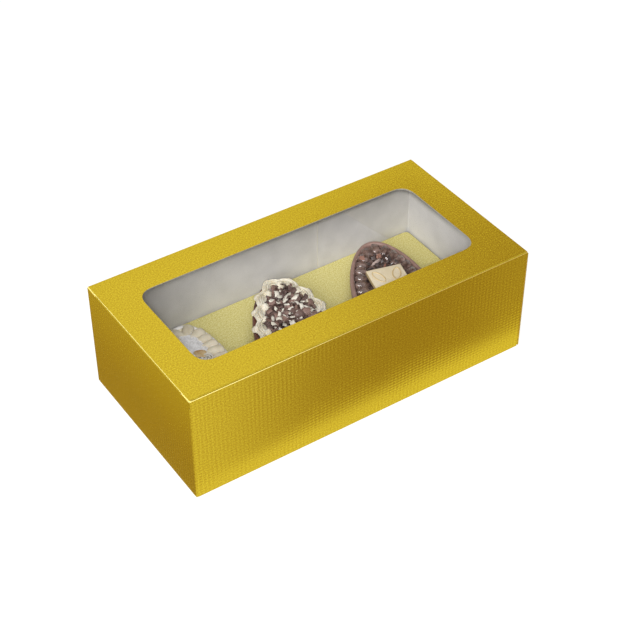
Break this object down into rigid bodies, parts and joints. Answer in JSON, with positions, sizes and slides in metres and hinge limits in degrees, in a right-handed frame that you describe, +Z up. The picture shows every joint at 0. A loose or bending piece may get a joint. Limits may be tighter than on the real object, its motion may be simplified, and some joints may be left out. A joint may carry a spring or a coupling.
{
  "type": "window gift box",
  "caption": "Folding gold carton with a hinged film-window lid, tuck and dust flaps, and a cradle board that seats filled half eggs.",
  "frame": {"origin": "middle of the underside of the floor panel", "axes": "+X along the box to its right end, +Y to the back wall that carries the lid, +Z up"},
  "size_m": [0.22, 0.111, 0.07],
  "materials": {
    "gold_board": "gold metallised carton board with a fine linen grain",
    "clear_film": "clear glossy film",
    "white_chocolate": "satin ivory chocolate",
    "dark_chocolate": "satin dark chocolate",
    "milk_chocolate": "satin milk chocolate",
    "cream": "soft matte cream",
    "coconut": "dry grated coconut",
    "biscuit": "dry baked biscuit"
  },
  "bodies": {
    "tray": {"floor_panel": "gold_board", "front_wall": "gold_board", "back_wall": "gold_board", "left_end_wall": "gold_board", "right_end_wall": "gold_board", "front_left_corner_flap": "gold_board", "front_right_corner_flap": "gold_board", "back_right_corner_flap": "gold_board", "back_left_corner_flap": "gold_board"},
    "lid": {"lid_panel": "gold_board", "window_film": "clear_film"},
    "tuck": {"tuck_flap": "gold_board"},
    "left_dust": {"left_dust_flap": "gold_board"},
    "right_dust": {"right_dust_flap": "gold_board"},
    "cradle": {"cradle_deck": "gold_board", "cradle_front_leg": "gold_board", "cradle_back_leg": "gold_board", "cradle_left_leg": "gold_board", "cradle_right_leg": "gold_board"},
    "left_egg": {"left_egg_shell": "white_chocolate", "left_egg_filling": "cream", "left_egg_petal_ring": "cream", "left_egg_coconut_bed": "coconut", "left_egg_biscuit_curl": "biscuit"},
    "middle_egg": {"middle_egg_shell": "dark_chocolate", "middle_egg_filling": "cream", "middle_egg_piped_ring": "cream", "middle_egg_shavings": "dark_chocolate"},
    "right_egg": {"right_egg_shell": "milk_chocolate", "right_egg_filling": "dark_chocolate", "right_egg_chocolate_drops": "dark_chocolate", "right_egg_tile": "white_chocolate"}
  },
  "joints": [
    {"name": "lid_hinge", "type": "hinge", "parent": "tray", "child": "lid", "pos_m": [0, 0.0555, 0.0692], "axis": [-1, 0, 0], "range_deg": [0, 180]},
    {"name": "tuck_fold", "type": "hinge", "parent": "lid", "child": "tuck", "pos_m": [0, -0.054, 0.0695], "axis": [1, 0, 0], "range_deg": [0, 20]},
    {"name": "left_dust_fold", "type": "hinge", "parent": "tray", "child": "left_dust", "pos_m": [-0.11, 0, 0.0684], "axis": [0, -1, 0], "range_deg": [0, 90]},
    {"name": "right_dust_fold", "type": "hinge", "parent": "tray", "child": "right_dust", "pos_m": [0.11, 0, 0.0684], "axis": [0, 1, 0], "range_deg": [0, 90]},
    {"name": "cradle_lift", "type": "slide", "parent": "tray", "child": "cradle", "axis": [0, 0, 1], "range_m": [0, 0.008]},
    {"name": "left_egg_lift", "type": "slide", "parent": "cradle", "child": "left_egg", "axis": [0, 0, 1], "range_m": [0, 0.012]},
    {"name": "middle_egg_lift", "type": "slide", "parent": "cradle", "child": "middle_egg", "axis": [0, 0, 1], "range_m": [0, 0.012]},
    {"name": "right_egg_lift", "type": "slide", "parent": "cradle", "child": "right_egg", "axis": [0, 0, 1], "range_m": [0, 0.012]}
  ],
  "couplings": [
    {"joint": "left_dust_fold", "follows": "lid_hinge", "ratio": 0.5},
    {"joint": "right_dust_fold", "follows": "lid_hinge", "ratio": 0.5}
  ]
}
